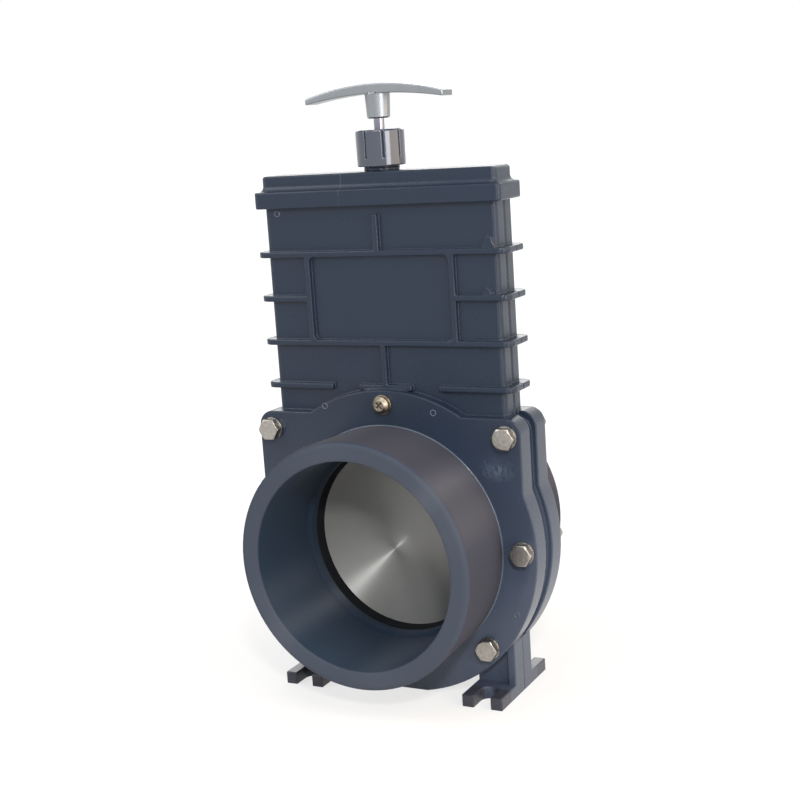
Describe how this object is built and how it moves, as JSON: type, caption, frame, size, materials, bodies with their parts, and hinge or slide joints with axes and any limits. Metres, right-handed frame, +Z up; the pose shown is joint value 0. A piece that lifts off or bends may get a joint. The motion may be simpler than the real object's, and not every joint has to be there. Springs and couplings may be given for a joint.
{
  "type": "knife gate valve",
  "caption": "Knife gate valve with plain pipe sockets on a bolted round body, a ribbed bonnet, a gland nut and a T-handle pull rod.",
  "frame": {"origin": "on the ground in the middle of the feet, under the crossing of the pipe's axis and the gate's plane", "axes": "+Z up along the stem, +Y along the pipe from the inlet to the outlet, +X along the handle"},
  "size_m": [0.244, 0.1874, 0.474],
  "materials": {
    "body_plastic": "smooth moulded, glossy, dark blue grey",
    "nut_plastic": "smooth moulded, glossy, near black",
    "seal_rubber": "smooth moulded",
    "packing_rubber": "braided and pressed",
    "guide_plastic": "milled, satin",
    "gate_steel": "circular brushed stainless sheet",
    "yoke_steel": "bent stainless strip, satin",
    "fastener_steel": "cold headed stainless, bright flats",
    "vent_zinc": "yellow passivated zinc",
    "stem_chrome": "polished",
    "handle_aluminium": "satin silver",
    "grub_steel": "black oxide"
  },
  "bodies": {
    "housing": {"front_body": "body_plastic", "rear_body": "body_plastic", "bonnet_cap": "body_plastic", "front_seal": "seal_rubber", "rear_seal": "seal_rubber", "body_gasket": "seal_rubber", "left_guide": "guide_plastic", "right_guide": "guide_plastic", "gate_cushion": "seal_rubber", "flange_bolts": "fastener_steel", "front_washers": "fastener_steel", "rear_washers": "fastener_steel", "flange_nuts": "fastener_steel", "vent_screw": "vent_zinc", "vent_washer": "vent_zinc", "stem_bush": "guide_plastic", "packing_rings": "packing_rubber"},
    "packing_follower": {"gland_follower": "guide_plastic"},
    "gland": {"gland_nut": "nut_plastic"},
    "gate_set": {"gate": "gate_steel", "stem_yoke": "yoke_steel", "gate_rivets": "fastener_steel"},
    "handle_set": {"stem": "stem_chrome", "stem_washer": "fastener_steel", "stem_nut": "fastener_steel", "handle": "handle_aluminium", "handle_grub": "grub_steel"}
  },
  "joints": [
    {"name": "gate_lift", "type": "slide", "parent": "housing", "child": "gate_set", "axis": [0, 0, 1], "range_m": [0, 0.16]},
    {"name": "handle_turn", "type": "hinge", "parent": "gate_set", "child": "handle_set", "pos_m": [0, 0, 0.25], "axis": [0, 0, 1], "continuous": true},
    {"name": "gland_travel", "type": "slide", "parent": "housing", "child": "packing_follower", "axis": [0, 0, 1], "range_m": [0, 0.006]},
    {"name": "gland_turn", "type": "hinge", "parent": "packing_follower", "child": "gland", "pos_m": [0, 0, 0.42], "axis": [0, 0, 1], "range_deg": [0, 1081]}
  ],
  "couplings": [
    {"joint": "gland_turn", "follows": "gland_travel", "rad_per_m": 3141.6}
  ]
}
